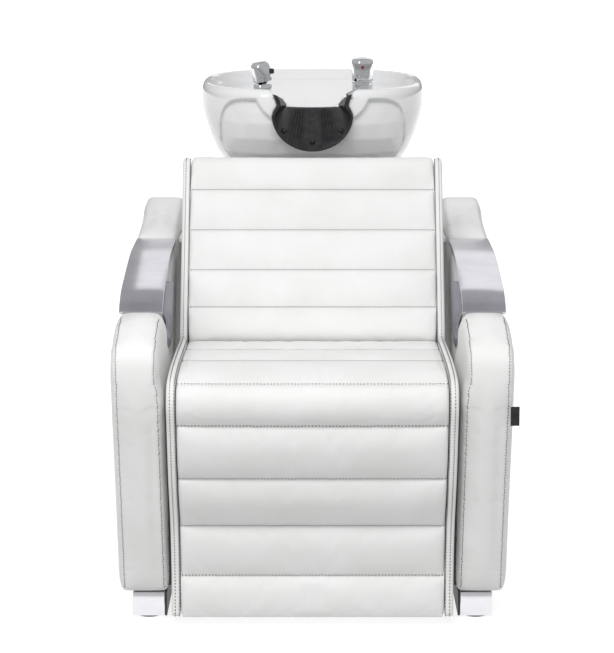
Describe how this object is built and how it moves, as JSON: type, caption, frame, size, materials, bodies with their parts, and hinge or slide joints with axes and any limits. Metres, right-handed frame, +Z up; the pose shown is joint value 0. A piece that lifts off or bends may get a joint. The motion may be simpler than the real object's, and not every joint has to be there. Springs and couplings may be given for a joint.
{
  "type": "shampoo backwash unit",
  "caption": "Upholstered salon wash seat with channelled pads, polished armrest plates and a tilting ceramic basin with neck rest, mixer and hand shower.",
  "frame": {"origin": "on the floor, under the centre of the whole unit's box", "axes": "+Z up, +Y from the sitter's knees towards the basin, +X to the right of someone facing the seat"},
  "size_m": [0.74, 1.2998, 1.04],
  "materials": {
    "leather": "satin, fine grain",
    "plywood": "raw",
    "steel_frame": "matt powder coat",
    "polished_steel": "polished with a fine grain",
    "chrome": "mirror",
    "rubber": "soft satin",
    "black_plastic": "fine texture",
    "ceramic": "gloss glaze",
    "brass": "machined",
    "pipe_plastic": "moulded",
    "housing_panel": "satin laminate"
  },
  "bodies": {
    "frame": {"seat_pad": "leather", "backrest_pad": "leather", "seat_board": "plywood", "front_board": "plywood", "back_board": "leather", "arm_left": "leather", "arm_right": "leather", "armrest_plate_left": "polished_steel", "armrest_plate_right": "polished_steel", "opening_liner_left": "polished_steel", "opening_liner_right": "polished_steel", "foot_front_left": "polished_steel", "foot_rear_left": "polished_steel", "foot_front_right": "polished_steel", "foot_rear_right": "polished_steel", "glide_front_left": "rubber", "glide_rear_left": "rubber", "glide_front_right": "rubber", "glide_rear_right": "rubber", "plinth_left": "steel_frame", "plinth_right": "steel_frame", "side_rail_left": "steel_frame", "side_rail_right": "steel_frame", "back_upright_left": "steel_frame", "back_upright_right": "steel_frame", "front_crossbar": "steel_frame", "middle_crossbar": "steel_frame", "front_bulkhead": "plywood", "rear_bulkhead": "plywood", "pedestal_plate": "steel_frame", "pedestal_column": "steel_frame", "tilt_yoke": "steel_frame", "tilt_pin": "chrome", "waste_pipe": "pipe_plastic", "waste_clamp": "steel_frame", "valve_bracket": "steel_frame", "valve_body_hot": "brass", "valve_body_cold": "brass", "service_deck": "housing_panel", "door_hinge_barrel": "chrome"},
    "bowl": {"bowl_carrier": "steel_frame", "bowl_basin": "ceramic", "neck_rest": "rubber", "neck_stud_left": "rubber", "neck_stud_centre": "rubber", "neck_stud_right": "rubber", "drain_flange": "chrome", "drain_tailpiece": "pipe_plastic", "mixer_body": "chrome", "shower_holder": "chrome"},
    "mixer_collar": {"mixer_collar": "chrome"},
    "mixer_handle": {"mixer_handle": "chrome"},
    "hand_shower": {"hand_shower": "chrome"},
    "shower_button": {"shower_button": "rubber"},
    "strainer": {"drain_strainer": "chrome"},
    "tilt_lock": {"tilt_lock_lever": "black_plastic"},
    "door": {"rear_door": "housing_panel"},
    "latch": {"door_latch": "chrome"},
    "hot_handle": {"valve_handle_hot": "black_plastic"},
    "cold_handle": {"valve_handle_cold": "black_plastic"}
  },
  "joints": [
    {"name": "bowl_tilt", "type": "hinge", "parent": "frame", "child": "bowl", "pos_m": [0, 0.35, 0.745], "axis": [1, 0, 0], "range_deg": [-10, 5]},
    {"name": "mixer_swivel", "type": "hinge", "parent": "bowl", "child": "mixer_collar", "pos_m": [0.106, 0.182, 0.976], "axis": [0, 0, 1], "range_deg": [-60, 60]},
    {"name": "mixer_lift", "type": "hinge", "parent": "mixer_collar", "child": "mixer_handle", "pos_m": [0.106, 0.196, 0.9895], "axis": [-1, 0, 0], "range_deg": [0, 12]},
    {"name": "hand_shower_lift", "type": "slide", "parent": "bowl", "child": "hand_shower", "axis": [-0.158, 0, 0.9874], "range_m": [0, 0.12]},
    {"name": "shower_button_press", "type": "slide", "parent": "hand_shower", "child": "shower_button", "axis": [-1, 0, 0], "range_m": [0, 0.003], "stiffness_N_per_m": 400, "springref_m": -0.002},
    {"name": "strainer_lift", "type": "slide", "parent": "bowl", "child": "strainer", "axis": [0, 0, 1], "range_m": [0, 0.05]},
    {"name": "tilt_lock_turn", "type": "hinge", "parent": "frame", "child": "tilt_lock", "pos_m": [0.092, 0.35, 0.745], "axis": [1, 0, 0], "range_deg": [-60, 0]},
    {"name": "door_swing", "type": "hinge", "parent": "frame", "child": "door", "pos_m": [-0.279, 0.471, 0.377], "axis": [0, 0, 1], "range_deg": [0, 100]},
    {"name": "latch_turn", "type": "hinge", "parent": "door", "child": "latch", "pos_m": [0.24, 0.471, 0.4], "axis": [0, 1, 0], "range_deg": [0, 90]},
    {"name": "hot_valve_turn", "type": "hinge", "parent": "frame", "child": "hot_handle", "pos_m": [-0.095, 0.424, 0.492], "axis": [0, 1, 0], "range_deg": [0, 90]},
    {"name": "cold_valve_turn", "type": "hinge", "parent": "frame", "child": "cold_handle", "pos_m": [0.095, 0.424, 0.492], "axis": [0, 1, 0], "range_deg": [0, 90]}
  ]
}
